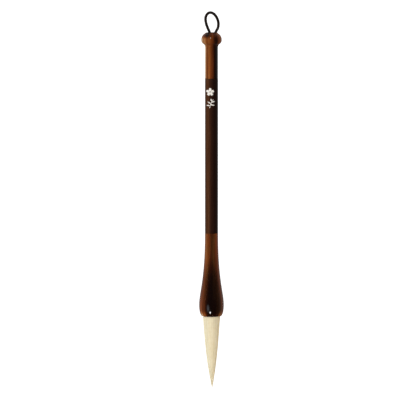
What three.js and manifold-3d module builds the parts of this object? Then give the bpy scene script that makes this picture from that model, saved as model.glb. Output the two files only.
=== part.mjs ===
// A Chinese calligraphy brush hanging by its cord loop, tuft down. Millimetres, +Z up.
// The origin is the hang point: the inner top of the loop, on the handle's axis.
// A polished horn head holds the hair tuft, a dark wood shaft carries a white inlaid blossom and
// sprig, and a horn tail cap with a round knob holds the loop. The handle is one rigid body. The
// loop tips forwards and back over the knob, and the tuft bends at two places: its belly forwards
// and back, its point from side to side.

import * as THREE from "three";
import { mergeVertices } from "three/addons/utils/BufferGeometryUtils.js";
import Module from "manifold-3d";

const wasm = await Module();
wasm.setup();

// Lengths along the brush, from the hang point down.
const hangDrop = 13.3; // hang point to the rim round the cord hole
const tailCapLength = 33;
const shaftLength = 112; // between its two horn ends
const headLength = 60;
const hairLength = 52.3; // outside the head
const rimZ = -hangDrop;
const tailJointZ = rimZ - tailCapLength;
const headJointZ = tailJointZ - shaftLength;
const mouthZ = headJointZ - headLength;

// Turned handle.
const shaftRadius = 4.7;
const headTopRadius = 4.75;
const collarRadius = 4.65;
const bellyRadius = 8.96;
const bellyHeight = 8.2; // above the mouth
const knobRadius = 7.38;
const knobDepth = 5.1; // the widest place, below the rim
const edgeRadius = 0.15;
const glueGap = 0.05;
const tenonRadius = 3;
const headTenonLength = 14;
const tailTenonLength = 12;

// Hollows in the horn.
const socketDepth = 16;
const socketMouthRadius = 6.4;
const socketFloorRadius = 6;
const cordBoreRadius = 2.2;
const cordBoreDepth = 11;
const rimRadius = 4.2;
const rimRound = 0.3;
const funnelDepth = 4.5;

// Cord.
const cordRadius = 1;
const loopHingeHeight = 1.4; // above the rim
const knotRadius = 2.6;
const knotDepth = 13.6;

// Tuft, by depth below the mouth.
const hairMouthRadius = 6.22;
const coverThickness = 1.2;
const coverEndThickness = 0.15;
const coverEnd = 44;
const bellyHinge = 9;
const pointHinge = 25;
const hingeGap = 0.3;
const hairGap = 0.08;
const rootHeight = 12; // the bundle's length inside the head
const bundleRadius = 5.6;
const threadRadius = 0.3;
const threadTurns = 5;
const waistTop = 10.8;
const waistRadius = 5.2;
const resinThickness = 2.4;
const glueThickness = 1.2;

// Inlay.
const inlayDepth = 0.28;
const inlayGap = 0.05;
const blossomPlace = [-1.0, -9.6]; // from the axis, and below the tail joint
const sprigPlace = [-0.3, -17.8];

const hornSides = 32;
const hairSides = 24;
const smallSides = 16;

function turned(profile, sides) {
  const points = profile.map(([r, z]) => new THREE.Vector2(r, z));
  return new THREE.LatheGeometry(points, sides).rotateX(Math.PI / 2);
}

function bezier(from, control1, control2, to, steps) {
  const ends = [from, control1, control2, to].map(([r, z]) => new THREE.Vector2(r, z));
  const curve = new THREE.CubicBezierCurve(...ends);
  return curve.getPoints(steps).map((p) => [p.x, p.y]);
}

function arc(centre, radius, fromDegrees, toDegrees, steps) {
  const points = [];
  for (let i = 0; i <= steps; i++) {
    const angle = THREE.MathUtils.degToRad(fromDegrees + ((toDegrees - fromDegrees) * i) / steps);
    points.push([centre[0] + radius * Math.cos(angle), centre[1] + radius * Math.sin(angle)]);
  }
  return points;
}

function solidOf(geometry) {
  geometry.deleteAttribute("normal");
  geometry.deleteAttribute("uv");
  const merged = mergeVertices(geometry, 1e-4);
  const mesh = new wasm.Mesh({
    numProp: 3,
    vertProperties: merged.attributes.position.array,
    triVerts: new Uint32Array(merged.index.array),
  });
  return new wasm.Manifold(mesh);
}

function geometryOf(solid) {
  const { vertProperties, triVerts } = solid.getMesh();
  const geometry = new THREE.BufferGeometry();
  geometry.setAttribute("position", new THREE.BufferAttribute(vertProperties, 3));
  geometry.setIndex(new THREE.BufferAttribute(triVerts, 1));
  geometry.computeVertexNormals();
  return geometry;
}

// Head: flared horn with the tuft's socket below and the shaft's bore above. Heights from the mouth.
function headGeometry() {
  const mouthEdge = [7.1, 0.1];
  return turned(
    [
      [0, socketDepth],
      [socketFloorRadius, socketDepth],
      [socketMouthRadius, 0.25],
      [socketMouthRadius + 0.2, 0],
      [mouthEdge[0] - 0.15, 0],
      ...bezier(mouthEdge, [8.1, 0.9], [bellyRadius, 3.4], [bellyRadius, bellyHeight], 8),
      ...bezier([bellyRadius, bellyHeight], [bellyRadius, 17], [headTopRadius, 26],
        [headTopRadius, headLength - edgeRadius], 12).slice(1),
      [headTopRadius - edgeRadius, headLength],
      [tenonRadius + glueGap, headLength],
      [tenonRadius + glueGap, headLength - headTenonLength],
      [0, headLength - headTenonLength],
    ],
    hornSides,
  );
}

// Shaft: plain wood rod with a tenon at each end. Heights from the head joint.
function shaftSolid() {
  const low = glueGap;
  const high = shaftLength - glueGap;
  return solidOf(
    turned(
      [
        [0, 0.4 - headTenonLength],
        [tenonRadius, 0.4 - headTenonLength],
        [tenonRadius, low],
        [shaftRadius - edgeRadius, low],
        [shaftRadius, low + edgeRadius],
        [shaftRadius, high - edgeRadius],
        [shaftRadius - edgeRadius, high],
        [tenonRadius, high],
        [tenonRadius, shaftLength + tailTenonLength],
        [0, shaftLength + tailTenonLength],
      ],
      hornSides,
    ),
  );
}

// Tail cap: collar and knob in one piece of horn, bored for the cord and its knot. Heights from the rim.
function tailCapGeometry() {
  const lip = arc([rimRadius, -rimRound], rimRound, 180, 0, 6);
  return turned(
    [
      ...bezier([cordBoreRadius, -funnelDepth], [cordBoreRadius, -3], [3.6, -1.6], lip[0], 6),
      ...lip.slice(1),
      ...bezier([4.6, -0.5], [5.5, -0.95], [knobRadius, -2.2], [knobRadius, -knobDepth], 9),
      ...bezier([knobRadius, -knobDepth], [knobRadius, -9], [collarRadius, -7.2],
        [collarRadius, -11], 10).slice(1),
      [collarRadius, edgeRadius - tailCapLength],
      [collarRadius - edgeRadius, -tailCapLength],
      [tenonRadius + glueGap, -tailCapLength],
      [tenonRadius + glueGap, -cordBoreDepth],
      [cordBoreRadius, -cordBoreDepth],
      [cordBoreRadius, -funnelDepth],
    ].reverse(),
    hornSides,
  );
}

// A round cord through points [x, z], in the plane of the loop.
function cordGeometry(route, steps) {
  const curve = new THREE.CatmullRomCurve3(route.map(([x, z]) => new THREE.Vector3(x, 0, z)));
  const section = new THREE.Shape().absarc(0, 0, cordRadius, 0, 2 * Math.PI);
  return new THREE.ExtrudeGeometry(section, { extrudePath: curve, steps, curveSegments: 4 });
}

// The loop's route above the rim, from its left leg over the top to its right leg.
const loopRoute = [
  [-1.85, loopHingeHeight],
  [-2.35, 2.45],
  [-2.8, 3.5],
  [-3.55, 5.5],
  [-4.05, 7.45],
  [-4.31, 9.4],
  [-4.1, 11.4],
  [-3.3, 13.1],
  [-2.1, 14.1],
  [-0.7, 14.4],
  [0.8, 14.0],
  [2.2, 13.0],
  [3.3, 11.55],
  [4.34, 9.5],
  [4.85, 7.6],
  [4.97, 5.9],
  [4.82, 4.4],
  [4.4, 2.9],
  [3.55, loopHingeHeight],
];

// The cord's two ends run down the bore to the knot that keeps them in.
const leftLegRoute = [
  [-1.4, 0.05],
  [-1.2, -1.5],
  [-1.08, -3],
  [-1.05, -6],
  [-1.05, -knotDepth],
];
const rightLegRoute = [
  [2.8, 0.05],
  [2.05, -1.4],
  [1.35, -3],
  [1.05, -5.5],
  [1.05, -knotDepth],
];

function knotGeometry() {
  const knot = new THREE.SphereGeometry(knotRadius, 14, 8).scale(1, 1, 0.85);
  knot.translate(0, 0, -knotDepth);
  return geometryOf(
    solidOf(knot)
      .add(solidOf(cordGeometry(leftLegRoute, 7)))
      .add(solidOf(cordGeometry(rightLegRoute, 7))),
  );
}

// The tuft's outer radius: a cone that swells a little towards its point.
function hairRadius(depth) {
  const t = depth / hairLength;
  return hairMouthRadius * (1 - t) * (1 + 0.42 * t + 0.46 * t * t);
}

// The cover hair thins out to end short of the point.
function coreRadius(depth) {
  const t = Math.max(0, (depth - pointHinge) / (coverEnd - pointHinge));
  return hairRadius(depth) - coverThickness - (coverEndThickness - coverThickness) * t;
}

function outline(radiusAt, fromDepth, toDepth, hinge, steps) {
  const points = [];
  for (let i = 0; i <= steps; i++) {
    const depth = fromDepth + ((toDepth - fromDepth) * i) / steps;
    points.push([radiusAt(depth), hinge - depth]);
  }
  return points;
}

const bellyEnd = pointHinge - hairRadius(pointHinge) - hingeGap;
const rootEnd = bellyHinge - hairRadius(bellyHinge) - hingeGap;
const rootCoreRadius = coreRadius(0);

// The bundle's root: waisted where the thread binds it. Heights from the mouth.
function rootCoverGeometry() {
  const waistLow = waistTop - 2 * threadRadius * threadTurns - 0.4;
  return turned(
    [
      [rootCoreRadius, rootHeight],
      [rootCoreRadius, -rootEnd],
      [hairRadius(rootEnd), -rootEnd],
      [hairMouthRadius - 0.05, 0],
      [bundleRadius, waistLow - 0.5],
      [waistRadius, waistLow],
      [waistRadius, waistTop],
      [bundleRadius - 0.2, rootHeight],
      [rootCoreRadius, rootHeight],
    ],
    hairSides,
  );
}

function rootCoreGeometry() {
  const radius = rootCoreRadius - hairGap;
  const section = [[0, -rootEnd], [radius, -rootEnd], [radius, rootHeight], [0, rootHeight]];
  return turned(section, smallSides);
}

// Turns of thread side by side round the waist.
function threadGeometry() {
  const inner = waistRadius + hairGap;
  const centre = inner + threadRadius;
  const bottom = waistTop - 0.2 - 2 * threadRadius * threadTurns;
  const turns = [];
  for (let i = 0; i < threadTurns; i++) {
    const middle = bottom + threadRadius * (2 * i + 1);
    turns.push(...arc([centre, middle], threadRadius, -65, 65, 2));
  }
  const top = bottom + 2 * threadRadius * threadTurns;
  return turned([[inner, bottom], ...turns, [inner, top], [inner, bottom]], hairSides);
}

function resinGeometry() {
  const low = rootHeight + hairGap;
  const radius = bundleRadius - 0.2;
  const high = low + resinThickness;
  const shoulder = [[radius, high - 0.8], [radius - 1.2, high]];
  return turned([[0, low], [radius, low], ...shoulder, [0, high]], smallSides);
}

function glueGeometry() {
  const high = socketDepth - hairGap;
  const low = high - glueThickness;
  const radius = socketFloorRadius - hairGap;
  return turned([[0, low], [radius - 0.2, low], [radius, high], [0, high]], smallSides);
}

// A jointed length of cover hair: a hemisphere round its hinge, then the outline, hollow for the core.
function coverGeometry(hinge, end, steps) {
  const outer = hairRadius(hinge);
  const inner = coreRadius(hinge);
  return turned(
    [
      ...arc([0, 0], outer, 90, 0, 7),
      ...outline(hairRadius, hinge, end, hinge, steps).slice(1),
      ...outline(coreRadius, end, hinge, hinge, steps),
      ...arc([0, 0], inner, 0, 90, 6).slice(1),
    ].reverse(),
    hairSides,
  );
}

function bellyCoreGeometry() {
  const radius = coreRadius(bellyHinge) - hairGap;
  return turned(
    [
      ...arc([0, 0], radius, 90, 0, 6),
      [coreRadius(bellyEnd) - hairGap, bellyHinge - bellyEnd],
      [0, bellyHinge - bellyEnd],
    ].reverse(),
    smallSides,
  );
}

// The core runs out of the cover and makes the very point.
function pointCoreGeometry() {
  const radiusAt = (depth) => coreRadius(depth) - hairGap;
  const tip = outline(hairRadius, coverEnd + 0.3, hairLength, pointHinge, 6);
  tip[tip.length - 1][0] = 0;
  return turned(
    [
      ...arc([0, 0], radiusAt(pointHinge), 90, 0, 6),
      ...outline(radiusAt, pointHinge, coverEnd + 0.1, pointHinge, 6).slice(1),
      ...tip,
    ].reverse(),
    smallSides,
  );
}

// Inlay outlines are drawn flat, [x, z], and pressed onto the front of the shaft.
function ellipse(centre, radii, angle) {
  return new THREE.Shape().absellipse(...centre, ...radii, 0, 2 * Math.PI, false, angle);
}

// A leaf runs from its stalk in the direction of its angle, with two bowed edges.
function leaf(stalk, length, width, angle) {
  const along = new THREE.Vector2(Math.cos(angle), Math.sin(angle));
  const across = new THREE.Vector2(-along.y, along.x);
  const foot = new THREE.Vector2(...stalk);
  const tip = foot.clone().addScaledVector(along, length);
  const middle = foot.clone().addScaledVector(along, length * 0.5);
  const left = middle.clone().addScaledVector(across, width);
  const right = middle.clone().addScaledVector(across, -width);
  const shape = new THREE.Shape().moveTo(foot.x, foot.y);
  shape.quadraticCurveTo(right.x, right.y, tip.x, tip.y);
  shape.quadraticCurveTo(left.x, left.y, foot.x, foot.y);
  return shape;
}

function blossomShapes(grow) {
  const shapes = [ellipse([0, 0], [0.75 + grow, 0.75 + grow], 0)];
  for (let petal = 0; petal < 5; petal++) {
    const angle = Math.PI / 2 + (petal * 2 * Math.PI) / 5;
    const centre = [1.7 * Math.cos(angle), 1.7 * Math.sin(angle)];
    shapes.push(ellipse(centre, [1.2 + grow, 0.88 + grow], angle));
  }
  return shapes;
}

// Each leaf: its stalk on the stem, its length, its width and its direction in degrees.
const sprigLeaves = [
  [[-0.85, -1.6], 2.5, 0.75, 175],
  [[-0.6, -0.9], 3.2, 0.8, -8],
  [[-0.3, -0.1], 2.6, 0.75, 150],
  [[0.1, 0.7], 2.8, 0.75, 18],
  [[0.5, 1.3], 2.3, 0.7, 110],
];

function sprigShapes(grow) {
  const stem = new THREE.Shape().moveTo(-1.25 - grow, -3.3 - grow);
  stem.quadraticCurveTo(-0.75 - grow, 0.2, 1.5 - grow, 3.1 + grow);
  stem.lineTo(1.8 + grow, 2.9 - grow);
  stem.quadraticCurveTo(-0.3 + grow, 0, -0.85 + grow, -3.4 - grow);
  stem.closePath();
  const leaves = sprigLeaves.map(([stalk, length, width, degrees]) => {
    const angle = THREE.MathUtils.degToRad(degrees);
    const back = [stalk[0] - grow * Math.cos(angle), stalk[1] - grow * Math.sin(angle)];
    return leaf(back, length + 2 * grow, width + 2 * grow, angle);
  });
  return [stem, ...leaves];
}

// The solid in front of the axis whose outline is the given shapes, at a place on the shaft.
function pressedSolid(shapes, place) {
  const settings = { depth: 2 * shaftRadius, bevelEnabled: false, curveSegments: 5 };
  const parts = shapes.map((shape) => {
    const prism = new THREE.ExtrudeGeometry(shape, settings);
    prism.rotateX(Math.PI / 2);
    prism.translate(place[0], 0, shaftLength + place[1]);
    return solidOf(prism);
  });
  return parts.reduce((whole, part) => whole.add(part));
}

function shellSolid(inner, outer) {
  const low = shaftLength - 30;
  const high = shaftLength - 2;
  const section = [[inner, low], [outer, low], [outer, high], [inner, high], [inner, low]];
  return solidOf(turned(section, hornSides));
}

function inlayGeometry(shapes, place) {
  const shell = shellSolid(shaftRadius - inlayDepth, shaftRadius);
  return geometryOf(pressedSolid(shapes(0), place).intersect(shell));
}

function inlaidShaftGeometry() {
  const cutter = shellSolid(shaftRadius - inlayDepth - inlayGap, shaftRadius + 1);
  const blossom = pressedSolid(blossomShapes(inlayGap), blossomPlace).intersect(cutter);
  const sprig = pressedSolid(sprigShapes(inlayGap), sprigPlace).intersect(cutter);
  return geometryOf(shaftSolid().subtract(blossom).subtract(sprig));
}

const finishes = {
  horn: { color: 0x5a2c14, roughness: 0.15, metalness: 0 },
  wood: { color: 0x341b10, roughness: 0.45, metalness: 0 },
  cord: { color: 0x1c1310, roughness: 0.7, metalness: 0 },
  coverHair: { color: 0xe9dfbe, roughness: 0.6, metalness: 0 },
  coreHair: { color: 0xd8c79c, roughness: 0.65, metalness: 0 },
  thread: { color: 0xb8a890, roughness: 0.8, metalness: 0 },
  resin: { color: 0x6e3a12, roughness: 0.3, metalness: 0 },
  glue: { color: 0xc9a86a, roughness: 0.4, metalness: 0 },
  inlay: { color: 0xf2ece2, roughness: 0.5, metalness: 0 },
};

function piece(name, geometry, finish) {
  const mesh = new THREE.Mesh(geometry, new THREE.MeshStandardMaterial(finishes[finish]));
  mesh.name = name;
  return mesh;
}

function groupAt(z, ...pieces) {
  const group = new THREE.Group();
  group.position.z = z;
  group.add(...pieces);
  return group;
}

const head = groupAt(
  mouthZ,
  piece("head_ferrule", headGeometry(), "horn"),
  piece("socket_glue", glueGeometry(), "glue"),
  piece("root_resin", resinGeometry(), "resin"),
  piece("binding_thread", threadGeometry(), "thread"),
  piece("root_cover_hair", rootCoverGeometry(), "coverHair"),
  piece("root_core_hair", rootCoreGeometry(), "coreHair"),
);

const shaft = groupAt(
  headJointZ,
  piece("handle_shaft", inlaidShaftGeometry(), "wood"),
  piece("blossom_inlay", inlayGeometry(blossomShapes, blossomPlace), "inlay"),
  piece("sprig_inlay", inlayGeometry(sprigShapes, sprigPlace), "inlay"),
);

const tail = groupAt(
  rimZ,
  piece("tail_cap", tailCapGeometry(), "horn"),
  piece("loop_knot", knotGeometry(), "cord"),
);

// Bodies that move, each in a group of its own.
const loop = groupAt(rimZ, piece("hanging_loop", cordGeometry(loopRoute, 20), "cord"));

const belly = groupAt(
  mouthZ - bellyHinge,
  piece("belly_cover_hair", coverGeometry(bellyHinge, bellyEnd, 4), "coverHair"),
  piece("belly_core_hair", bellyCoreGeometry(), "coreHair"),
);

const point = groupAt(
  mouthZ - pointHinge,
  piece("point_cover_hair", coverGeometry(pointHinge, coverEnd, 6), "coverHair"),
  piece("point_core_hair", pointCoreGeometry(), "coreHair"),
);

const brush = new THREE.Group();
brush.add(head, shaft, tail, loop, belly, point);

export default brush;
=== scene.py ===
"""Looks for a calligraphy brush that hangs by its cord loop: fine surfaces, hair and materials."""

import math
import random

import bpy
import numpy as np
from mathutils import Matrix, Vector


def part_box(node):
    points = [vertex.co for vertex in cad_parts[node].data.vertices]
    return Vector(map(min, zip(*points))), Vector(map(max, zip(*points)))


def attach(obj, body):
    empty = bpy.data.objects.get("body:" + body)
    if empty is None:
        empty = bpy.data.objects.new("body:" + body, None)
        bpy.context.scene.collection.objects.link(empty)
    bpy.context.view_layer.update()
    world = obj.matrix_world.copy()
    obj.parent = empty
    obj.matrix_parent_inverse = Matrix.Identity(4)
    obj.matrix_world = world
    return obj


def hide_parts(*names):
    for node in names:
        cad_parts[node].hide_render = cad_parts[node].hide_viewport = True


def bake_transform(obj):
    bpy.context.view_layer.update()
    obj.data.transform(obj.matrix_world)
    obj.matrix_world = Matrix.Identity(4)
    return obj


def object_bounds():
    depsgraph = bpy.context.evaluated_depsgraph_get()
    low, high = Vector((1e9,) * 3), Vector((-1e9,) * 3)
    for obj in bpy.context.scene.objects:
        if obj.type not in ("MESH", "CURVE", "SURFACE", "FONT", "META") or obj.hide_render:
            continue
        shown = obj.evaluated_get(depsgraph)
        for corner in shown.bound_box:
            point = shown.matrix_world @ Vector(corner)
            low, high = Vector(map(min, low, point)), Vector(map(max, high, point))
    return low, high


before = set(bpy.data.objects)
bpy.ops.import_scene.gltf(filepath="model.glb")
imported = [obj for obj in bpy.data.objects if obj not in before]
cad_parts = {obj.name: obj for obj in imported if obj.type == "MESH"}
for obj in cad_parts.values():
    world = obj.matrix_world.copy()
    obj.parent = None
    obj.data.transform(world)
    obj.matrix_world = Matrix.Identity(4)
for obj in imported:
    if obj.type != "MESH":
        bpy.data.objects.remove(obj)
cad_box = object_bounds()

MM = 0.001

# Places along the axis, in metres, from the frame.
RIM_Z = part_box("tail_cap")[1].z
TAIL_JOINT_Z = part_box("tail_cap")[0].z
HEAD_JOINT_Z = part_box("head_ferrule")[1].z
MOUTH_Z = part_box("head_ferrule")[0].z
TIP_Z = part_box("point_core_hair")[0].z

# Sizes in millimetres, the same as the CAD part's.
TAIL_CAP_LENGTH = (RIM_Z - TAIL_JOINT_Z) / MM
SHAFT_LENGTH = (TAIL_JOINT_Z - HEAD_JOINT_Z) / MM
HEAD_LENGTH = (HEAD_JOINT_Z - MOUTH_Z) / MM
HAIR_LENGTH = (MOUTH_Z - TIP_Z) / MM
SHAFT_RADIUS = 4.7
HEAD_TOP_RADIUS = 4.75
COLLAR_RADIUS = 4.65
BELLY_RADIUS = 8.96
BELLY_HEIGHT = 8.2
KNOB_RADIUS = 7.38
KNOB_DEPTH = 5.1
TENON_RADIUS = 3.0
HEAD_TENON = 14.0
TAIL_TENON = 12.0
GLUE_GAP = 0.05
SOCKET_DEPTH = 16.0
SOCKET_MOUTH_RADIUS = 6.4
SOCKET_FLOOR_RADIUS = 6.0
BORE_RADIUS = 2.2
BORE_DEPTH = 11.0
FUNNEL_DEPTH = 4.5
LIP_RADIUS = 4.2
LIP_ROUND = 0.3
CORD_RADIUS = 1.0
KNOT_DEPTH = 13.6
HAIR_MOUTH_RADIUS = 6.22
ROOT_HEIGHT = 12.0
BUNDLE_RADIUS = 5.6
WAIST_RADIUS = 5.2
THREAD_RADIUS = 0.3
THREAD_TURNS = 5
BLOSSOM_PLACE = (-1.0, -9.6)
SPRIG_PLACE = (-0.3, -17.8)

# Depth below the mouth where the tuft's upper and lower lengths meet.
BENDS_MEET = 17.0

TURNED_SIDES = 160
AXIS_RADIUS = 0.02  # a turned outline ends this near the axis
EDGE_ROUND = 0.12
TENON_END_GAP = 0.4
SEED = 7
FLOOR_DROP = 0.4  # metres from the tuft's point down to the floor


# ---------------------------------------------------------------- meshes


def mesh_object(name, vertices, faces, grain, sharp_degrees=35):
    """A smooth mesh whose faces point out. grain is each vertex's rest direction and height."""
    mesh = bpy.data.meshes.new(name)
    mesh.from_pydata([tuple(v) for v in vertices], [], faces)
    mesh.update()
    if signed_volume(mesh) < 0:
        mesh.flip_normals()
    mesh.shade_smooth()
    mesh.set_sharp_from_angle(angle=math.radians(sharp_degrees))
    attribute = mesh.attributes.new("grain", "FLOAT_VECTOR", "POINT")
    attribute.data.foreach_set("vector", np.asarray(grain, np.float32).ravel())
    piece = bpy.data.objects.new(name, mesh)
    bpy.context.scene.collection.objects.link(piece)
    return piece


def signed_volume(mesh):
    mesh.calc_loop_triangles()
    corners = np.array([v.co for v in mesh.vertices], float)
    triangles = np.array([t.vertices for t in mesh.loop_triangles])
    a, b, c = corners[triangles[:, 0]], corners[triangles[:, 1]], corners[triangles[:, 2]]
    return float(np.einsum("ij,ij->i", a, np.cross(b, c)).sum())


def axis_grain(points):
    """Direction from the axis (right, front) and height in millimetres, for streaks along the brush."""
    radius = np.maximum(np.hypot(points[..., 0], points[..., 1]), 1e-9)
    return np.stack([points[..., 0] / radius, -points[..., 1] / radius, points[..., 2] / MM], -1)


def ring_faces(ring_count, sides, first=0, wrapped=False, capped=True):
    """Quads between successive rings of vertices, with flat caps or the last ring joined to the first."""
    faces = []
    spans = ring_count if wrapped else ring_count - 1
    for ring in range(spans):
        low = first + ring * sides
        high = first + ((ring + 1) % ring_count) * sides
        for side in range(sides):
            after = (side + 1) % sides
            faces.append((low + side, low + after, high + after, high + side))
    if capped and not wrapped:
        last = first + (ring_count - 1) * sides
        faces.append(tuple(first + side for side in reversed(range(sides))))
        faces.append(tuple(last + side for side in range(sides)))
    return faces


def turned(name, profile, base_z, sides=TURNED_SIDES, wrapped=False):
    """A turned piece from its outline, [radius, height] in millimetres above base_z."""
    outline = np.array(profile, float) * MM
    angles = np.linspace(0, 2 * math.pi, sides, endpoint=False)
    rings = np.empty((len(outline), sides, 3))
    rings[..., 0] = outline[:, :1] * np.cos(angles)
    rings[..., 1] = outline[:, :1] * np.sin(angles)
    rings[..., 2] = outline[:, 1:] + base_z
    vertices = rings.reshape(-1, 3)
    faces = ring_faces(len(outline), sides, wrapped=wrapped)
    return mesh_object(name, vertices, faces, axis_grain(vertices))


def bezier(start, control1, control2, end, steps):
    t = np.linspace(0, 1, steps + 1)[:, None]
    points = [np.array(p, float) for p in (start, control1, control2, end)]
    curve = (1 - t) ** 3 * points[0] + 3 * (1 - t) ** 2 * t * points[1]
    curve += 3 * (1 - t) * t**2 * points[2] + t**3 * points[3]
    return curve.tolist()


def arc(centre, radius, start_degrees, end_degrees, steps):
    angles = np.radians(np.linspace(start_degrees, end_degrees, steps + 1))
    return [[centre[0] + radius * math.cos(a), centre[1] + radius * math.sin(a)] for a in angles]


def smooth_route(route, step):
    """Points a step apart on a smooth curve through the route's points."""
    points = np.array(route, float)
    padded = np.vstack([2 * points[0] - points[1], points, 2 * points[-1] - points[-2]])
    dense = []
    for p0, p1, p2, p3 in zip(padded, padded[1:], padded[2:], padded[3:]):
        t = np.linspace(0, 1, 24, endpoint=False)[:, None]
        cubic = 2 * p1 + (p2 - p0) * t + (2 * p0 - 5 * p1 + 4 * p2 - p3) * t**2
        dense.append(0.5 * (cubic + (3 * p1 - p0 - 3 * p2 + p3) * t**3))
    dense = np.vstack([*dense, points[-1:]])
    along = np.concatenate([[0], np.cumsum(np.linalg.norm(np.diff(dense, axis=0), axis=1))])
    wanted = np.linspace(0, along[-1], max(2, round(along[-1] / step)) + 1)
    return np.stack([np.interp(wanted, along, dense[:, k]) for k in range(dense.shape[1])], -1)


def tube_rings(path, radii, sides, across=None):
    """Rings of vertices round a path. radii holds one radius per ring, or one per ring and side."""
    tangents = np.gradient(path, axis=0)
    tangents /= np.linalg.norm(tangents, axis=1)[:, None]
    if across is None:
        across = np.tile([0.0, 1.0, 0.0], (len(path), 1))
    normals = np.cross(tangents, across)
    normals /= np.linalg.norm(normals, axis=1)[:, None]
    others = np.cross(normals, tangents)
    angles = np.linspace(0, 2 * math.pi, sides, endpoint=False)
    radii = np.asarray(radii, float)
    radii = radii[:, None] if radii.ndim == 1 else radii
    out = normals[:, None] * np.cos(angles)[:, None] + others[:, None] * np.sin(angles)[:, None]
    return path[:, None] + out * (radii * np.ones(sides))[..., None]


# ---------------------------------------------------------------- handle


def head_piece():
    neck_end = [HEAD_TOP_RADIUS, HEAD_LENGTH - 0.15]
    outline = [[AXIS_RADIUS, SOCKET_DEPTH], [SOCKET_FLOOR_RADIUS, SOCKET_DEPTH]]
    outline += [[SOCKET_MOUTH_RADIUS, 0.28]]
    outline += arc([SOCKET_MOUTH_RADIUS + 0.2, 0.2], 0.2, 180, 270, 4)
    outline += bezier([6.9, 0.0], [7.0, 0.0], [7.05, 0.04], [7.12, 0.12], 4)
    outline += bezier([7.12, 0.12], [8.1, 0.9], [BELLY_RADIUS, 3.4], [BELLY_RADIUS, BELLY_HEIGHT], 32)[1:]
    outline += bezier([BELLY_RADIUS, BELLY_HEIGHT], [BELLY_RADIUS, 17], [HEAD_TOP_RADIUS, 26],
                      neck_end, 60)[1:]
    outline += arc([HEAD_TOP_RADIUS - 0.1, HEAD_LENGTH - 0.1], 0.1, 0, 90, 3)
    outline += [[TENON_RADIUS + GLUE_GAP, HEAD_LENGTH]]
    outline += [[TENON_RADIUS + GLUE_GAP, HEAD_LENGTH - HEAD_TENON]]
    outline += [[AXIS_RADIUS, HEAD_LENGTH - HEAD_TENON]]
    return turned("head", outline, MOUTH_Z)


def shaft_piece():
    low, high = GLUE_GAP, SHAFT_LENGTH - GLUE_GAP
    tenon_end = TENON_END_GAP - HEAD_TENON
    outline = [[AXIS_RADIUS, tenon_end], [TENON_RADIUS, tenon_end], [TENON_RADIUS, low]]
    outline += arc([SHAFT_RADIUS - EDGE_ROUND, low + EDGE_ROUND], EDGE_ROUND, 270, 360, 3)
    outline += [[SHAFT_RADIUS, height] for height in np.linspace(3, high - 3, 60)]
    outline += arc([SHAFT_RADIUS - EDGE_ROUND, high - EDGE_ROUND], EDGE_ROUND, 0, 90, 3)
    outline += [[TENON_RADIUS, high], [TENON_RADIUS, SHAFT_LENGTH + TAIL_TENON]]
    outline += [[AXIS_RADIUS, SHAFT_LENGTH + TAIL_TENON]]
    return turned("shaft", outline, HEAD_JOINT_Z)


def tail_cap_piece():
    outline = bezier([BORE_RADIUS, -FUNNEL_DEPTH], [BORE_RADIUS, -3], [3.6, -1.6], [3.9, -0.3], 16)
    outline += arc([LIP_RADIUS, -LIP_ROUND], LIP_ROUND, 180, 20, 10)[1:]
    outline += bezier([4.6, -0.42], [5.5, -0.9], [KNOB_RADIUS, -2.2], [KNOB_RADIUS, -KNOB_DEPTH], 32)
    outline += bezier([KNOB_RADIUS, -KNOB_DEPTH], [KNOB_RADIUS, -9.0], [COLLAR_RADIUS, -7.2],
                      [COLLAR_RADIUS, -11], 32)[1:]
    outline += [[COLLAR_RADIUS, height] for height in np.linspace(-13, 1.2 - TAIL_CAP_LENGTH, 14)]
    outline += arc([COLLAR_RADIUS - 0.1, 0.1 - TAIL_CAP_LENGTH], 0.1, 0, -90, 3)
    outline += [[TENON_RADIUS + GLUE_GAP, -TAIL_CAP_LENGTH], [TENON_RADIUS + GLUE_GAP, -BORE_DEPTH]]
    outline += [[BORE_RADIUS, -BORE_DEPTH], [BORE_RADIUS, -7]]
    return turned("tail_cap_turned", outline, RIM_Z, wrapped=True)


# ---------------------------------------------------------------- inlay

INLAY_PROUD = 0.03
INLAY_SINK = 0.12
PATCH_POINTS = 15


def inlay_piece(name, patches, place):
    """White filling on the front of the shaft. Each patch maps (u, v) in 0..1 to a flat [x, z] and a rise."""
    vertices, faces = [], []
    count = PATCH_POINTS
    for patch in patches:
        sheets = []
        for top in (True, False):
            first = len(vertices)
            for i in range(count):
                for j in range(count):
                    (x, z), rise = patch(i / (count - 1), j / (count - 1))
                    radius = SHAFT_RADIUS + (INLAY_PROUD * rise if top else -INLAY_SINK)
                    x += place[0]
                    depth = math.sqrt(radius**2 - x**2)
                    height = SHAFT_LENGTH + place[1] + z
                    vertices.append((x * MM, -depth * MM, height * MM + HEAD_JOINT_Z))
            sheets.append(first)
        faces += sheet_faces(sheets[0], sheets[1], count)
    points = np.array(vertices)
    return mesh_object(name, points, faces, axis_grain(points))


def sheet_faces(top, bottom, count):
    """Two grids of vertices, one above the other, closed round their edge."""
    faces = []
    for i in range(count - 1):
        for j in range(count - 1):
            corner = i * count + j
            square = (corner, corner + 1, corner + count + 1, corner + count)
            faces.append(tuple(top + k for k in square))
            faces.append(tuple(bottom + k for k in reversed(square)))
    edge = list(range(count))
    edge += [i * count + count - 1 for i in range(1, count)]
    edge += [(count - 1) * count + j for j in range(count - 2, -1, -1)]
    edge += [i * count for i in range(count - 2, 0, -1)]
    for a, b in zip(edge, edge[1:] + edge[:1]):
        faces.append((top + b, top + a, bottom + a, bottom + b))
    return faces


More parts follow.
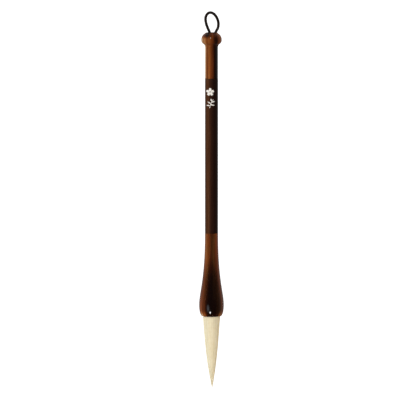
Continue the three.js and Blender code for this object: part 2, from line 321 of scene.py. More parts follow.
def petal_patch(angle, length, width, near):
    """A rounded petal with a notched end, from near the blossom's middle outwards."""
    along = (math.cos(angle), math.sin(angle))

    def patch(u, v):
        side = 2 * v - 1
        notch = 0.14 * length * (1 - abs(side)) ** 2 * u
        reach = near + (length - notch) * u
        half = width * math.sin(math.pi * (0.1 + 0.78 * u)) ** 0.65
        x = along[0] * reach - along[1] * half * side
        z = along[1] * reach + along[0] * half * side
        return (x, z), 0.3 + 0.7 * (1 - side**4) * (1 - (2 * u - 1) ** 4)

    return patch


def leaf_patch(stalk, length, width, degrees):
    """A pointed leaf with a groove for its midrib."""
    angle = math.radians(degrees)
    along = (math.cos(angle), math.sin(angle))

    def patch(u, v):
        side = 2 * v - 1
        half = 0.5 * width * (4 * u * (1 - u)) ** 0.8 + 0.02
        x = stalk[0] + along[0] * length * u - along[1] * half * side
        z = stalk[1] + along[1] * length * u + along[0] * half * side
        return (x, z), (1 - side**4) * (1 - 0.8 * math.exp(-((side / 0.12) ** 2)))

    return patch


def disc_patch(centre, radius):
    def patch(u, v):
        x, z = 2 * u - 1, 2 * v - 1
        round_x = x * math.sqrt(1 - z * z / 2)
        round_z = z * math.sqrt(1 - x * x / 2)
        return (centre[0] + radius * round_x, centre[1] + radius * round_z), 1.3

    return patch


def stroke_patch(start, control, end, width):
    """A stem along a bowed line, thinner towards its end."""

    def patch(u, v):
        x = (1 - u) ** 2 * start[0] + 2 * (1 - u) * u * control[0] + u**2 * end[0]
        z = (1 - u) ** 2 * start[1] + 2 * (1 - u) * u * control[1] + u**2 * end[1]
        along_x = (1 - u) * (control[0] - start[0]) + u * (end[0] - control[0])
        along_z = (1 - u) * (control[1] - start[1]) + u * (end[1] - control[1])
        size = math.hypot(along_x, along_z)
        offset = (v - 0.5) * width * (1 - 0.45 * u)
        return (x - along_z / size * offset, z + along_x / size * offset), 1 - (2 * v - 1) ** 4

    return patch


def blossom_piece():
    patches = []
    for petal in range(5):
        angle = math.pi / 2 + petal * 2 * math.pi / 5
        patches.append(petal_patch(angle, 2.3, 0.92, 0.6))
        dot = (0.95 * math.cos(angle + 0.63), 0.95 * math.sin(angle + 0.63))
        patches.append(disc_patch(dot, 0.13))
    patches.append(disc_patch((0, 0), 0.42))
    return inlay_piece("blossom", patches, BLOSSOM_PLACE)


def sprig_piece():
    patches = [stroke_patch((-1.05, -3.35), (-0.5, 0.1), (1.65, 3.0), 0.42)]
    leaves = (
        ((-0.85, -1.6), 2.5, 0.75, 175),
        ((-0.6, -0.9), 3.2, 0.8, -8),
        ((-0.3, -0.1), 2.6, 0.75, 150),
        ((0.1, 0.7), 2.8, 0.75, 18),
        ((0.5, 1.3), 2.3, 0.7, 110),
    )
    patches += [leaf_patch(*leaf) for leaf in leaves]
    return inlay_piece("sprig", patches, SPRIG_PLACE)


# ---------------------------------------------------------------- cord

# The CAD cord's route, [x, height above the rim] in millimetres: up one leg, over the loop, down the other.
CORD_ROUTE = (
    (-1.05, -KNOT_DEPTH), (-1.05, -6.0), (-1.08, -3.0), (-1.2, -1.5), (-1.4, 0.05), (-1.85, 1.4),
    (-2.35, 2.45), (-2.8, 3.5), (-3.55, 5.5), (-4.05, 7.45), (-4.31, 9.4), (-4.1, 11.4),
    (-3.3, 13.1), (-2.1, 14.1), (-0.7, 14.4), (0.8, 14.0), (2.2, 13.0), (3.3, 11.55),
    (4.34, 9.5), (4.85, 7.6), (4.97, 5.9), (4.82, 4.4), (4.4, 2.9), (3.55, 1.4),
    (2.8, 0.05), (2.05, -1.4), (1.35, -3.0), (1.05, -5.5), (1.05, -KNOT_DEPTH),
)
BRAID_RELIEF = 0.05
BRAID_LOBES = 5
BRAID_PITCH = 2.6
CORD_STEP = 0.11
CORD_SIDES = 50
RINGS_PER_POINT = 9  # rings of the mesh for each point of the path that cord_piece returns
KNOT_CORD_RADIUS = 0.88


def cord_piece():
    flat = smooth_route(CORD_ROUTE, CORD_STEP)
    path = np.stack([flat[:, 0], np.zeros(len(flat)), flat[:, 1]], -1)
    sides = CORD_SIDES
    along = np.arange(len(path)) * CORD_STEP
    angles = np.linspace(0, 2 * math.pi, sides, endpoint=False)
    turn = 2 * math.pi * along[:, None] / BRAID_PITCH
    one_way = np.cos(BRAID_LOBES * angles + turn)
    other_way = np.cos(BRAID_LOBES * angles - turn)
    crossing = np.maximum(one_way, other_way)
    radii = CORD_RADIUS + BRAID_RELIEF * (np.abs(crossing) - 0.75)
    rings = tube_rings(path, radii, sides)
    vertices = rings.reshape(-1, 3) * MM + np.array([0, 0, RIM_Z])
    grain = np.stack(
        [
            np.tile(np.cos(angles), len(path)),
            np.tile(np.sin(angles), len(path)),
            np.repeat(along, sides),
        ],
        -1,
    )
    piece = mesh_object("cord", vertices, ring_faces(len(path), sides), grain, 60)
    declared = path[::RINGS_PER_POINT] * MM + np.array([0, 0, RIM_Z])
    return piece, [tuple(p) for p in declared]


def knot_piece():
    """The stopper knot inside the tail cap: a cord turned on itself three times."""
    t = np.linspace(0, 2 * math.pi, 97)
    reach = 1.22 + 0.72 * np.cos(3 * t)
    path = np.stack([reach * np.cos(2 * t), reach * np.sin(2 * t), -0.9 * np.sin(3 * t)], -1)
    path[:, 2] -= KNOT_DEPTH
    path = path[:-1]
    tangents = np.roll(path, -1, 0) - np.roll(path, 1, 0)
    tangents /= np.linalg.norm(tangents, axis=1)[:, None]
    outwards = path - np.array([0, 0, -KNOT_DEPTH])
    across = np.cross(tangents, outwards)
    across /= np.linalg.norm(across, axis=1)[:, None]
    normals = np.cross(tangents, across)
    sides = 20
    angles = np.linspace(0, 2 * math.pi, sides, endpoint=False)[:, None]
    out = normals[:, None] * np.cos(angles) + across[:, None] * np.sin(angles)
    vertices = (path[:, None] + out * KNOT_CORD_RADIUS).reshape(-1, 3) * MM + np.array([0, 0, RIM_Z])
    grain = np.stack(
        [
            np.tile(np.cos(angles[:, 0]), len(path)),
            np.tile(np.sin(angles[:, 0]), len(path)),
            np.repeat(np.arange(len(path)) * 0.3, sides),
        ],
        -1,
    )
    return mesh_object("stopper_knot", vertices, ring_faces(len(path), sides, wrapped=True), grain, 60)


# ---------------------------------------------------------------- tuft


def hair_radius(depth):
    t = np.clip(np.asarray(depth, float) / HAIR_LENGTH, 0, 1)
    return HAIR_MOUTH_RADIUS * (1 - t) * (1 + 0.42 * t + 0.46 * t * t)


def root_radius(depth):
    """The bound bundle inside the head, at a depth that is negative above the mouth."""
    heights = [0, 7, 7.6, 10.8, 11.2, ROOT_HEIGHT]
    top = BUNDLE_RADIUS - 0.3
    radii = [HAIR_MOUTH_RADIUS - 0.05, BUNDLE_RADIUS, WAIST_RADIUS, WAIST_RADIUS, top, top]
    return np.interp(-np.asarray(depth, float), heights, radii)


def tuft_radius(depth):
    depth = np.asarray(depth, float)
    return np.where(depth < 0, root_radius(depth), hair_radius(depth))


def tuft_centre(depth):
    """The tuft's point leans a little to the right."""
    t = np.clip(np.asarray(depth, float) / HAIR_LENGTH, 0, 1)
    return 0.5 * t**2


BUNDLE_SIDES = 420
BUNDLE_SHARE = 1 - 0.012  # the bundle's size beside the CAD tuft, so that hairs lie on it


def tuft_bundle(name, start, end, count):
    """A length of the hair bundle, its surface fluted along the hairs."""
    rng = np.random.default_rng(SEED)
    sides = BUNDLE_SIDES
    angles = np.linspace(0, 2 * math.pi, sides, endpoint=False)
    flutes = np.zeros(sides)
    for waves in (3, 5, 8, 13, 21, 34, 47, 62, 83, 105, 131):
        size = 0.035 if waves > 12 else 0.05
        flutes += size * rng.uniform(0.4, 1) * np.cos(waves * angles + rng.uniform(0, 2 * math.pi))
    depths = np.linspace(start, end, count)
    radius = tuft_radius(depths)
    share = np.clip(radius / HAIR_MOUTH_RADIUS, 0, 1)
    ripple = 0.03 * np.sin(depths * 1.9) * np.exp(-np.maximum(depths, 0) / 6) * (depths > 0)
    radii = radius[:, None] * BUNDLE_SHARE + (flutes - 0.06) * share[:, None] + ripple[:, None]
    radii = np.maximum(radii, 0.02)
    vertices = np.empty((count, sides, 3))
    vertices[..., 0] = radii * np.cos(angles) + tuft_centre(depths)[:, None]
    vertices[..., 1] = radii * np.sin(angles)
    vertices[..., 2] = -depths[:, None]
    vertices = vertices.reshape(-1, 3) * MM + np.array([0, 0, MOUTH_Z])
    grain = np.stack(
        [
            np.tile(np.cos(angles), count),
            np.tile(-np.sin(angles), count),
            np.repeat(depths, sides),
        ],
        -1,
    )
    return mesh_object(name, vertices, ring_faces(count, sides), grain, 75)


STRANDS = 1500
STRAND_RADIUS = 0.06
STRAND_END_RADIUS = 0.02
STRAY_HAIRS = 14
STRAND_LEVELS = np.array(
    [-1.2, 0.5, 3, 6, 9.5, 13, BENDS_MEET, 21, 25, 29, 33, 37, 41, 44.5, 47.3, 49.4, 51, 52.3]
)


def strand_paths():
    """Each surface hair's angle, drift, height off the bundle and end, from mouth towards point."""
    rng = random.Random(SEED)
    strands = []
    for index in range(STRANDS):
        end = HAIR_LENGTH * (1 - 0.5 * rng.random() ** 2.2)
        strands.append(
            {
                "angle": 2 * math.pi * (index + rng.uniform(-0.4, 0.4)) / STRANDS,
                "drift": rng.gauss(0, 0.035),
                "wave": rng.uniform(0, 2 * math.pi),
                "rise": rng.uniform(-0.03, 0.05),
                "end": min(end, HAIR_LENGTH - 0.05),
                "stray": 0.0,
            }
        )
    for strand in rng.sample(strands, STRAY_HAIRS):
        strand["stray"] = rng.uniform(0.12, 0.4)
    return strands


def strand_mesh(name, strands, start, end):
    """The part of every surface hair between two depths, as thin five-sided tubes in one mesh."""
    sides = 5
    vertices, faces, grain = [], [], []
    corners = np.linspace(0, 2 * math.pi, sides, endpoint=False)
    for strand in strands:
        levels = STRAND_LEVELS[(STRAND_LEVELS >= start) & (STRAND_LEVELS <= end)]
        levels = levels[levels < strand["end"] - 0.6]
        if strand["end"] < end:
            levels = np.append(levels, strand["end"])
        if len(levels) < 2 or strand["end"] <= start + 1:
            continue
        share = levels / strand["end"]
        angle = strand["angle"] + strand["drift"] * np.sin(levels / 17 + strand["wave"])
        lift = strand["rise"] * (1 - share**4) + strand["stray"] * np.clip(share, 0, 1) ** 3
        looseness = 0.35 + 0.65 * hair_radius(levels) / HAIR_MOUTH_RADIUS
        reach = tuft_radius(levels) * BUNDLE_SHARE + lift * looseness
        thick = STRAND_RADIUS * (1 - 0.45 * np.clip(share, 0, 1) ** 3)
        thick = np.where(levels >= strand["end"] - 1e-6, STRAND_END_RADIUS, thick)
        reach = np.maximum(reach - thick * 0.5, 0.01)
        path = np.stack([reach * np.cos(angle) + tuft_centre(levels), reach * np.sin(angle), -levels], -1)
        out = np.stack([np.cos(angle), np.sin(angle), np.zeros(len(levels))], -1)
        side = np.stack([-np.sin(angle), np.cos(angle), np.zeros(len(levels))], -1)
        first = len(vertices)
        for ring in range(len(levels)):
            for corner in corners:
                offset = out[ring] * math.cos(corner) + side[ring] * math.sin(corner)
                vertices.append(path[ring] + offset * thick[ring])
                grain.append((math.cos(strand["angle"]), -math.sin(strand["angle"]), levels[ring]))
        faces += ring_faces(len(levels), sides, first)
    points = np.array(vertices) * MM + np.array([0, 0, MOUTH_Z])
    return mesh_object(name, points, faces, grain, 80)


def thread_piece():
    """The silk thread wound round the tuft's root."""
    inner = WAIST_RADIUS + 0.08
    t = np.linspace(0, 1, 60 * THREAD_TURNS + 1)
    angle = 2 * math.pi * THREAD_TURNS * t
    reach = inner + THREAD_RADIUS
    height = 7.75 + 2 * THREAD_RADIUS * (THREAD_TURNS - 0.55) * t + THREAD_RADIUS
    path = np.stack([reach * np.cos(angle), reach * np.sin(angle), height], -1)
    across = np.tile([0.0, 0.0, 1.0], (len(path), 1))
    rings = tube_rings(path, np.full(len(path), THREAD_RADIUS * 0.96), 10, across)
    vertices = rings.reshape(-1, 3) * MM + np.array([0, 0, MOUTH_Z])
    return mesh_object("thread_binding", vertices, ring_faces(len(path), 10), axis_grain(vertices), 60)


# ---------------------------------------------------------------- materials


class Shader:
    """A material's node tree, with short calls for the nodes used here."""

    def __init__(self, name):
        self.material = bpy.data.materials.new(name)
        self.material.use_nodes = True
        self.nodes = self.material.node_tree.nodes
        self.links = self.material.node_tree.links
        self.surface = self.nodes["Principled BSDF"]

    def link(self, value, socket):
        if isinstance(value, bpy.types.NodeSocket):
            self.links.new(value, socket)
        else:
            socket.default_value = value

    def grain(self):
        node = self.nodes.new("ShaderNodeAttribute")
        node.attribute_name = "grain"
        split = self.nodes.new("ShaderNodeSeparateXYZ")
        self.links.new(node.outputs["Vector"], split.inputs[0])
        return split.outputs[0], split.outputs[1], split.outputs[2]

    def math(self, operation, *values):
        node = self.nodes.new("ShaderNodeMath")
        node.operation = operation
        for value, socket in zip(values, node.inputs):
            self.link(value, socket)
        return node.outputs[0]

    def streaks(self, grain, across, along, detail=3.0, offset=0.0):
        """Noise drawn out along the brush: across repeats round it, along repeats per millimetre."""
        right, front, height = grain
        place = self.nodes.new("ShaderNodeCombineXYZ")
        self.link(self.math("MULTIPLY", right, across), place.inputs[0])
        self.link(self.math("MULTIPLY", front, across), place.inputs[1])
        self.link(self.math("MULTIPLY_ADD", height, along, offset), place.inputs[2])
        noise = self.nodes.new("ShaderNodeTexNoise")
        noise.inputs["Scale"].default_value = 1.0
        noise.inputs["Detail"].default_value = detail
        noise.inputs["Roughness"].default_value = 0.6
        self.links.new(place.outputs[0], noise.inputs["Vector"])
        return noise.outputs["Fac"]

    def around(self, grain, stops, warp):
        """A value by direction round the axis, from (degrees right of the front, value), bent by warp."""
        right, front, _ = grain
        turn = self.math("DIVIDE", self.math("ARCTAN2", right, front), 2 * math.pi)
        bend = self.math("MULTIPLY_ADD", warp, 0.09, 0.455)
        places = [(0.5 + degrees / 360, value) for degrees, value in stops]
        return self.ramp(self.math("ADD", turn, bend), places)

    def rising(self, value, start, end, gain):
        """Goes smoothly from nought to gain as the value goes from start to end."""
        node = self.nodes.new("ShaderNodeMapRange")
        node.interpolation_type = "SMOOTHSTEP"
        node.inputs["From Min"].default_value = start
        node.inputs["From Max"].default_value = end
        node.inputs["To Max"].default_value = gain
        self.links.new(value, node.inputs["Value"])
        return node.outputs["Result"]

    def ramp(self, value, stops):
        node = self.nodes.new("ShaderNodeValToRGB")
        elements = node.color_ramp.elements
        elements.remove(elements[1])
        elements[0].position = stops[0][0]
        for place, _ in stops[1:]:
            elements.new(place)
        for element, (_, colour) in zip(elements, stops):
            element.color = (*colour, 1.0) if isinstance(colour, tuple) else (colour, colour, colour, 1.0)
        self.link(value, node.inputs[0])
        return node.outputs["Color"]

    def weighted(self, terms, base):
        """base plus each (value, weight), with values centred on a half."""
        total = base
        for value, weight in terms:
            centred = self.math("SUBTRACT", value, 0.5)
            total = self.math("ADD", total, self.math("MULTIPLY", centred, weight))
        return total

    def mix(self, share, a, b):
        node = self.nodes.new("ShaderNodeMix")
        self.link(share, node.inputs["Factor"])
        self.link(a, node.inputs["A"])
        self.link(b, node.inputs["B"])
        return node.outputs["Result"]

    def mix_colours(self, share, a, b):
        node = self.nodes.new("ShaderNodeMix")
        node.data_type = "RGBA"
        self.link(share, node.inputs["Factor"])
        colours = [socket for socket in node.inputs if socket.type == "RGBA"]
        self.link(a, colours[0])
        self.link(b, colours[1])
        return next(socket for socket in node.outputs if socket.type == "RGBA")

    def bump(self, height, strength, distance):
        node = self.nodes.new("ShaderNodeBump")
        node.inputs["Strength"].default_value = strength
        node.inputs["Distance"].default_value = distance
        self.link(height, node.inputs["Height"])
        self.links.new(node.outputs[0], self.surface.inputs["Normal"])

    def set(self, **values):
        for name, value in values.items():
            self.link(value, self.surface.inputs[name.replace("_", " ")])


def horn_material(name, layers, offset, honey_share):
    """Polished horn in long streaks. layers are (height, tones round it), upwards.

    The tone picks from near black to amber. Patches go towards honey, by honey_share. The tones round it
    carry painted light and painted shade as well as the horn's own streaks.
    """
    shader = Shader(name)
    grain = shader.grain()
    broad = shader.streaks(grain, 2.6, 0.02, 2.0, offset)
    medium = shader.streaks(grain, 9.0, 0.03, 3.0, offset + 4)
    fine = shader.streaks(grain, 40.0, 0.06, 4.0, offset + 9)
    # side is the tone round the horn: the horn's streak colour with painted light and painted shade in it.
    below, side = layers[0][0], shader.around(grain, layers[0][1], broad)
    for height, stops in layers[1:]:
        share = shader.rising(grain[2], below, height, 1.0)
        side = shader.mix(share, side, shader.around(grain, stops, broad))
        below = height
    streaks = shader.weighted([(medium, 0.95), (fine, 0.5)], 1.0)
    tone = shader.math("MULTIPLY", side, streaks)
    amber = shader.ramp(
        tone,
        (
            (0.0, (0.004, 0.0013, 0.0008)),
            (0.15, (0.008, 0.002, 0.001)),
            (0.3, (0.031, 0.006, 0.0014)),
            (0.45, (0.088, 0.0185, 0.0032)),
            (0.6, (0.18, 0.04, 0.0065)),
            (0.75, (0.285, 0.086, 0.018)),
            (0.88, (0.4, 0.19, 0.07)),
            (1.0, (0.68, 0.47, 0.27)),
        ),
    )
    honey = shader.ramp(
        tone,
        (
            (0.0, (0.004, 0.0016, 0.0008)),
            (0.3, (0.024, 0.0085, 0.0018)),
            (0.6, (0.145, 0.058, 0.012)),
            (0.8, (0.29, 0.14, 0.04)),
            (1.0, (0.66, 0.49, 0.28)),
        ),
    )
    patches = shader.streaks(grain, 1.8, 0.045, 2.0, offset + 17)
    colour = shader.mix_colours(shader.rising(patches, 0.45, 0.68, honey_share), amber, honey)
    shader.set(Base_Color=colour, IOR=1.5, Coat_Weight=0.3, Coat_Roughness=0.02)
    shader.set(Roughness=shader.weighted([(fine, 0.1)], 0.13))
    shader.bump(fine, 0.05, 0.00004)
    return shader.material


# Tones round the horn, (degrees right of the front, tone), at places along it. Besides the horn's own amber
# and black they hold painted light: brighter sides are a painted glow of light through the horn, and the dark
# parts are partly painted shade.
MOUTH_TONES_WITH_PAINTED_LIGHT = (
    (-180, 0.55), (-130, 0.4), (-90, 0.78), (-62, 0.9), (-45, 0.9), (-31, 0.42), (-18, 0.2),
    (15, 0.16), (31, 0.28), (46, 0.62), (64, 0.74), (90, 0.7), (125, 0.35), (180, 0.55),
)
BULB_TONES_WITH_PAINTED_LIGHT = (
    (-180, 0.5), (-150, 0.28), (-120, 0.42), (-90, 0.52), (-50, 0.6), (-36, 0.37), (-28, 0.24), (-18, 0.1),
    (0, 0.04), (20, 0.09), (36, 0.22), (52, 0.38), (70, 0.48), (95, 0.5), (130, 0.15), (180, 0.5),
)
SHOULDER_TONES_WITH_PAINTED_LIGHT = (
    (-180, 0.52), (-150, 0.35), (-120, 0.46), (-90, 0.5), (-45, 0.5), (-33, 0.36), (-24, 0.24), (-12, 0.1),
    (0, 0.06), (12, 0.08), (24, 0.2), (40, 0.36), (60, 0.46), (90, 0.5), (130, 0.2), (180, 0.52),
)
NECK_TONES_WITH_PAINTED_LIGHT = (
    (-180, 0.55), (-150, 0.45), (-120, 0.6), (-90, 0.68), (-35, 0.66), (-22, 0.5), (-10, 0.37),
    (10, 0.36), (23, 0.42), (50, 0.56), (80, 0.6), (130, 0.4), (180, 0.55),
)
COLLAR_TONES_WITH_PAINTED_LIGHT = (
    (-180, 0.5), (-150, 0.4), (-115, 0.62), (-92, 0.98), (-68, 1.0), (-58, 0.8), (-42, 0.54), (-34, 0.57),
    (-24, 0.73), (-12, 0.63), (0, 0.56), (12, 0.34), (25, 0.22), (42, 0.12), (80, 0.14), (180, 0.5),
)
KNOB_TONES_WITH_PAINTED_LIGHT = (
    (-180, 0.5), (-110, 0.62), (-75, 0.9), (-45, 0.84), (-31, 0.62), (-20, 0.6), (-10, 0.7),
    (0, 0.56), (10, 0.42), (24, 0.2), (34, 0.28), (44, 0.52), (60, 0.66), (90, 0.62), (130, 0.3), (180, 0.5),
)
CROWN_TONES_WITH_PAINTED_LIGHT = (
    (-180, 0.45), (-100, 0.65), (-72, 0.6), (-54, 0.42), (-40, 0.2), (-20, 0.2), (-6, 0.42), (8, 0.5),
    (30, 0.36), (44, 0.52), (56, 0.68), (78, 0.85), (110, 0.45), (180, 0.45),
)
WOOD_TONES_WITH_PAINTED_LIGHT = (
    (-180, 0.5), (-130, 0.58), (-90, 0.7), (-58, 0.71), (-24, 0.78), (-12, 0.53), (0, 0.38),
    (25, 0.25), (45, 0.2), (90, 0.3), (180, 0.5),
)


def wood_material():
    """Dark rosewood: straight fine grain, red-brown streaks and short pores, oiled to a satin sheen. Round
    the shaft it is lighter on the left, a painted sheen, and darker on the right, painted shade.
    """
    shader = Shader("rosewood")
    grain = shader.grain()
    broad = shader.streaks(grain, 2.4, 0.02, 3.0, 2)
    medium = shader.streaks(grain, 10.0, 0.05, 4.0, 11)
    pores = shader.streaks(grain, 45.0, 0.4, 2.0, 5)
    # side is the tone round the shaft: a painted sheen on the left and painted shade on the right.
    side = shader.around(grain, WOOD_TONES_WITH_PAINTED_LIGHT, broad)
    tone = shader.math("MULTIPLY", side, shader.weighted([(medium, 0.9), (pores, 0.5)], 1.0))
    colour = shader.ramp(
        tone,
        (
            (0.0, (0.004, 0.0012, 0.0006)),
            (0.3, (0.019, 0.0044, 0.001)),
            (0.6, (0.048, 0.0125, 0.0025)),
            (0.85, (0.09, 0.031, 0.008)),
            (1.0, (0.12, 0.055, 0.022)),
        ),
    )
    shader.set(Base_Color=colour, Roughness=shader.weighted([(pores, 0.2)], 0.42))
    shader.set(Specular_IOR_Level=0.28, Coat_Weight=0.03, Coat_Roughness=0.3)
    shader.bump(pores, 0.2, 0.00005)
    return shader.material


def hair_material(name, shade):
    """Cream hair: every strand a little lighter or darker than its neighbours. A shade below 1 darkens the
    whole colour, as painted shade.
    """
    shader = Shader(name)
    grain = shader.grain()
    strands = shader.streaks(grain, 70.0, 0.05, 2.0, 3)
    locks = shader.streaks(grain, 11.0, 0.03, 3.0, 8)
    bands = shader.streaks(grain, 1.2, 0.55, 3.0, 6)
    tone = shader.weighted([(strands, 1.1), (locks, 0.9), (bands, 0.3)], 0.55)
    stops = (
        (0.12, (0.58, 0.47, 0.28)),
        (0.36, (0.77, 0.67, 0.44)),
        (0.6, (0.87, 0.79, 0.57)),
        (0.9, (0.92, 0.87, 0.72)),
    )
    colour = shader.ramp(tone, [(p, tuple(shade * c for c in rgb)) for p, rgb in stops])
    shader.set(Base_Color=colour, Roughness=shader.weighted([(locks, 0.15)], 0.5))
    shader.set(Specular_IOR_Level=0.35, Sheen_Weight=0.2, Sheen_Roughness=0.4)
    shader.bump(strands, 0.3, 0.00005)
    return shader.material


def cord_material():
    """Waxed braid, very dark brown, a little worn in patches."""
    shader = Shader("waxed_cord")
    grain = shader.grain()
    fibres = shader.streaks(grain, 14.0, 1.8, 3.0, 1)
    wear = shader.streaks(grain, 1.5, 0.25, 2.0, 7)
    tone = shader.weighted([(fibres, 0.8), (wear, 0.6)], 0.45)
    colour = shader.ramp(
        tone,
        ((0.1, (0.006, 0.0028, 0.0015)), (0.5, (0.015, 0.0075, 0.0042)), (0.9, (0.045, 0.026, 0.015))),
    )
    shader.set(Base_Color=colour, Roughness=shader.weighted([(wear, 0.2)], 0.5))
    shader.set(Specular_IOR_Level=0.35, Sheen_Weight=0.05, Sheen_Roughness=0.5)
    shader.bump(fibres, 0.35, 0.00008)
    return shader.material


def enamel_material():
    """White paint rubbed into the engraving, dry and slightly uneven."""
    shader = Shader("inlay_enamel")
    grain = shader.grain()
    cloud = shader.streaks(grain, 9.0, 1.4, 4.0, 2)
    specks = shader.streaks(grain, 60.0, 9.0, 2.0, 4)
    tone = shader.weighted([(cloud, 0.9), (specks, 0.5)], 0.6)
    colour = shader.ramp(
        tone,
        ((0.1, (0.74, 0.65, 0.56)), (0.5, (0.92, 0.88, 0.81)), (0.9, (0.97, 0.95, 0.91))),
    )
    shader.set(Base_Color=colour, Roughness=shader.weighted([(specks, 0.3)], 0.5))
    shader.bump(specks, 0.3, 0.00003)
    return shader.material


def hard_material(name, dark, light, roughness):
    """Rosin, glue or waxed thread: clouded, with fine specks."""
    shader = Shader(name)
    node = shader.nodes.new("ShaderNodeTexCoord")
    noise = shader.nodes.new("ShaderNodeTexNoise")
    noise.inputs["Scale"].default_value = 600.0
    noise.inputs["Detail"].default_value = 4.0
    shader.links.new(node.outputs["Object"], noise.inputs["Vector"])
    colour = shader.ramp(noise.outputs["Fac"], ((0.3, dark), (0.7, light)))
    shader.set(Base_Color=colour, Roughness=shader.weighted([(noise.outputs["Fac"], 0.2)], roughness))
    shader.bump(noise.outputs["Fac"], 0.2, 0.0001)
    return shader.material


# ---------------------------------------------------------------- studio


def aim(thing, target):
    thing.rotation_mode = "QUATERNION"
    thing.rotation_quaternion = (Vector(target) - thing.location).to_track_quat("-Z", "Y")


def area_light(name, place, target, size, energy, colour=(1, 1, 1)):
    data = bpy.data.lights.new(name, "AREA")
    data.shape = "RECTANGLE"
    data.size, data.size_y = size
    data.energy = energy
    data.color = colour
    light = bpy.data.objects.new(name, data)
    light.location = place
    light.visible_camera = False
    bpy.context.scene.collection.objects.link(light)
    aim(light, target)
    return light


def polar(target, azimuth, elevation, distance):
    """A place seen from the target at an azimuth right of the camera's side, and an elevation."""
    a, e = math.radians(azimuth), math.radians(elevation)
    away = Vector((math.sin(a) * math.cos(e), -math.cos(a) * math.cos(e), math.sin(e)))
    return Vector(target) + away * distance


def studio_world():
    """White for the camera, soft for the light it gives, and dim in front so that gloss stays dark."""
    world = bpy.data.worlds.new("studio")
    bpy.context.scene.world = world
    world.use_nodes = True
    nodes, links = world.node_tree.nodes, world.node_tree.links
    coordinates = nodes.new("ShaderNodeTexCoord")
    split = nodes.new("ShaderNodeSeparateXYZ")
    links.new(coordinates.outputs["Generated"], split.inputs[0])
    reflected = nodes.new("ShaderNodeMapRange")
    reflected.interpolation_type = "SMOOTHSTEP"
    for socket, value in (("From Min", -0.6), ("From Max", 1.0), ("To Min", 0.018), ("To Max", 0.32)):
        reflected.inputs[socket].default_value = value
    links.new(split.outputs[1], reflected.inputs["Value"])
    path = nodes.new("ShaderNodeLightPath")
    upward = nodes.new("ShaderNodeMapRange")
    for socket, value in (("From Min", -0.7), ("From Max", 0.0), ("To Min", 0.25), ("To Max", 1.0)):
        upward.inputs[socket].default_value = value
    links.new(split.outputs[2], upward.inputs["Value"])
    dimmed = nodes.new("ShaderNodeMath")
    dimmed.operation = "MULTIPLY"
    links.new(reflected.outputs["Result"], dimmed.inputs[0])
    links.new(upward.outputs["Result"], dimmed.inputs[1])
    strength = dimmed.outputs[0]
    for ray, value in (("Is Diffuse Ray", 0.48), ("Is Camera Ray", 1.0)):
        mix = nodes.new("ShaderNodeMix")
        links.new(path.outputs[ray], mix.inputs["Factor"])
        links.new(strength, mix.inputs["A"])
        mix.inputs["B"].default_value = value
        strength = mix.outputs["Result"]
    links.new(strength, nodes["Background"].inputs["Strength"])
    nodes["Background"].inputs["Color"].default_value = (1, 1, 1, 1)


def studio(centre):
    bpy.context.scene.view_settings.view_transform = "Standard"
    studio_world()
    tuft = (0, 0, MOUTH_Z - 0.02)
    soft = (
        area_light("key", polar(centre, -58, 24, 1.3), centre, (0.6, 1.1), 8.6),
        area_light("warm_fill", polar(centre, 48, 5, 1.3), centre, (0.6, 0.9), 2.2, (1.0, 0.86, 0.68)),
        area_light("low_fill", polar(tuft, -32, -30, 0.5), tuft, (0.16, 0.16), 0.62),
        area_light("low_warm", polar(tuft, 45, -30, 0.5), tuft, (0.16, 0.16), 0.42, (1.0, 0.74, 0.44)),
        area_light("back_fill", polar(centre, 160, 25, 1.4), centre, (0.9, 1.1), 8),
    )
    for light in soft:
        light.visible_glossy = False
    sheen_place = polar(tuft, -33, -13, 0.5)
    sheen = area_light("low_softbox", sheen_place, tuft, (0.34, 0.22), 0.006, (0.85, 0.92, 1.0))
    sheen.data.shape = "ELLIPSE"
    sheen.data.spread = math.radians(30)
    high = area_light("spark_high", polar(centre, -12, 33, 1.4), centre, (0.12, 0.12), 1.8)
    glint = Vector((-0.001, -0.0087, MOUTH_Z + 0.0026))
    low = area_light("spark_low", polar(glint, -13.8, -30, 0.06), glint, (0.014, 0.014), 0.0001)
    low.data.spread = math.radians(14)
    for light in (high, low):
        light.data.shape = "DISK"
        light.visible_diffuse = False


def floor_material():
    shader = Shader("floor_pale")
    noise = shader.nodes.new("ShaderNodeTexNoise")
    noise.inputs["Scale"].default_value = 3.0
    colour = shader.ramp(noise.outputs["Fac"], ((0.3, (0.93, 0.93, 0.93)), (0.7, (0.95, 0.95, 0.95))))
    shader.set(Base_Color=colour, Roughness=0.9, Specular_IOR_Level=0.0)
    shader.set(Emission_Color=(1.0, 1.0, 1.0, 1.0), Emission_Strength=0.8)
    return shader.material


def floor_piece(height):
    """A wide pale dish: flat under the brush and curving up far away."""
    sides = 96
    reach = 9.0
    flat_reach = 5.0
    radii = np.linspace(0.01, reach, 60)
    lift = np.maximum(0, radii - flat_reach) ** 2 * 0.12
    angles = np.linspace(0, 2 * math.pi, sides, endpoint=False)
    rings = np.empty((len(radii), sides, 3))
    rings[..., 0] = radii[:, None] * np.cos(angles)
    rings[..., 1] = radii[:, None] * np.sin(angles)
    rings[..., 2] = height + lift[:, None]
    vertices = rings.reshape(-1, 3)
    faces = ring_faces(len(radii), sides, capped=False)
    faces.append(tuple(range(sides)))
    piece = mesh_object("floor", vertices, faces, axis_grain(vertices))
    if piece.data.polygons[0].normal.z < 0:
        piece.data.flip_normals()
    piece.data.materials.append(floor_material())
    piece.visible_glossy = False
    piece.visible_diffuse = False


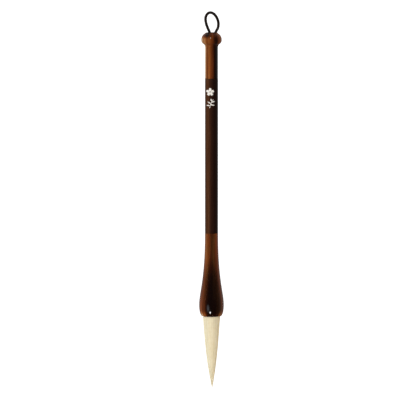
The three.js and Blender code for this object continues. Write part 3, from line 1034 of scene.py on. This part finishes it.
def camera(centre):
    data = bpy.data.cameras.new("camera")
    data.lens = 600
    data.sensor_width = 36
    view = bpy.data.objects.new("camera", data)
    bpy.context.scene.collection.objects.link(view)
    height_share = 0.945
    distance = (cad_box[1].z - cad_box[0].z) / height_share * data.lens / data.sensor_width
    shift = 0.0083  # puts the brush a little right of the picture's middle
    elevation = 5
    target = Vector((centre[0] - shift, centre[1], centre[2]))
    view.location = polar(target, 0, elevation, distance)
    aim(view, target)
    data.clip_start = 0.05
    data.clip_end = 60
    bpy.context.scene.camera = view


# ---------------------------------------------------------------- assembly


def dress(piece, material, slot, body, *nodes):
    """Gives a piece its material, and lets it stand for CAD nodes and ride on their body. slot is not used.
    """
    piece.data.materials.append(material)
    if body:
        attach(piece, body)
    if nodes:
        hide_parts(*nodes)


def build_cord():
    cord, path = cord_piece()
    knot = knot_piece()
    material = cord_material()
    dress(cord, material, "cord", None, "hanging_loop")
    dress(knot, material, "cord", "handle", "loop_knot")
    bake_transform(cord)


def build_handle():
    mouth, rim = MOUTH_Z / MM, RIM_Z / MM
    head_layers = (
        (mouth + 0.5, MOUTH_TONES_WITH_PAINTED_LIGHT),
        (mouth + 5, BULB_TONES_WITH_PAINTED_LIGHT),
        (mouth + 20, SHOULDER_TONES_WITH_PAINTED_LIGHT),
        (mouth + 46, NECK_TONES_WITH_PAINTED_LIGHT),
    )
    tail_layers = (
        (rim - 11, COLLAR_TONES_WITH_PAINTED_LIGHT),
        (rim - 7, KNOB_TONES_WITH_PAINTED_LIGHT),
        (rim - 4.5, KNOB_TONES_WITH_PAINTED_LIGHT),
        (rim - 1.5, CROWN_TONES_WITH_PAINTED_LIGHT),
    )
    head_horn = horn_material("horn_head", head_layers, 0.0, 0.7)
    tail_horn = horn_material("horn_tail", tail_layers, 31.0, 0.25)
    dress(head_piece(), head_horn, "horn", "handle", "head_ferrule")
    dress(tail_cap_piece(), tail_horn, "horn", "handle", "tail_cap")
    dress(shaft_piece(), wood_material(), "wood", "handle", "handle_shaft")
    enamel = enamel_material()
    dress(blossom_piece(), enamel, "inlay", "handle", "blossom_inlay")
    dress(sprig_piece(), enamel, "inlay", "handle", "sprig_inlay")
    thread = hard_material("silk_thread", (0.3, 0.2, 0.1), (0.55, 0.42, 0.26), 0.7)
    dress(thread_piece(), thread, "thread", "handle", "binding_thread")
    rosin = hard_material("rosin", (0.1, 0.03, 0.008), (0.25, 0.09, 0.02), 0.25)
    glue = hard_material("socket_glue_amber", (0.45, 0.28, 0.09), (0.66, 0.47, 0.2), 0.3)
    for node, material in (("root_resin", rosin), ("socket_glue", glue)):
        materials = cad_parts[node].data.materials
        materials.clear()
        materials.append(material)


def build_tuft():
    hair = hair_material("cream_hair", 1.0)
    # The bundle under the surface hairs gets a copy 6% darker: painted shade.
    painted_shade_hair = hair_material("cream_hair_painted_shade", 0.94)
    strands = strand_paths()
    upper = tuft_bundle("tuft_upper", -ROOT_HEIGHT, BENDS_MEET, 60)
    lower = tuft_bundle("tuft_lower", BENDS_MEET, HAIR_LENGTH - 0.1, 70)
    upper_strands = strand_mesh("strands_upper", strands, -2, BENDS_MEET)
    lower_strands = strand_mesh("strands_lower", strands, BENDS_MEET, HAIR_LENGTH)
    dress(upper, painted_shade_hair, "core_hair", None, "root_core_hair", "belly_core_hair")
    dress(lower, painted_shade_hair, "core_hair", None, "point_core_hair")
    dress(upper_strands, hair, "cover_hair", None, "root_cover_hair", "belly_cover_hair")
    dress(lower_strands, hair, "cover_hair", None, "point_cover_hair")
    for piece in (upper, upper_strands):
        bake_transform(piece)
    for piece in (lower, lower_strands):
        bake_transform(piece)


middle = (0, 0, (cad_box[0].z + cad_box[1].z) / 2)
camera(middle)
build_cord()
build_handle()
build_tuft()
floor_piece(TIP_Z - FLOOR_DROP)
studio(middle)
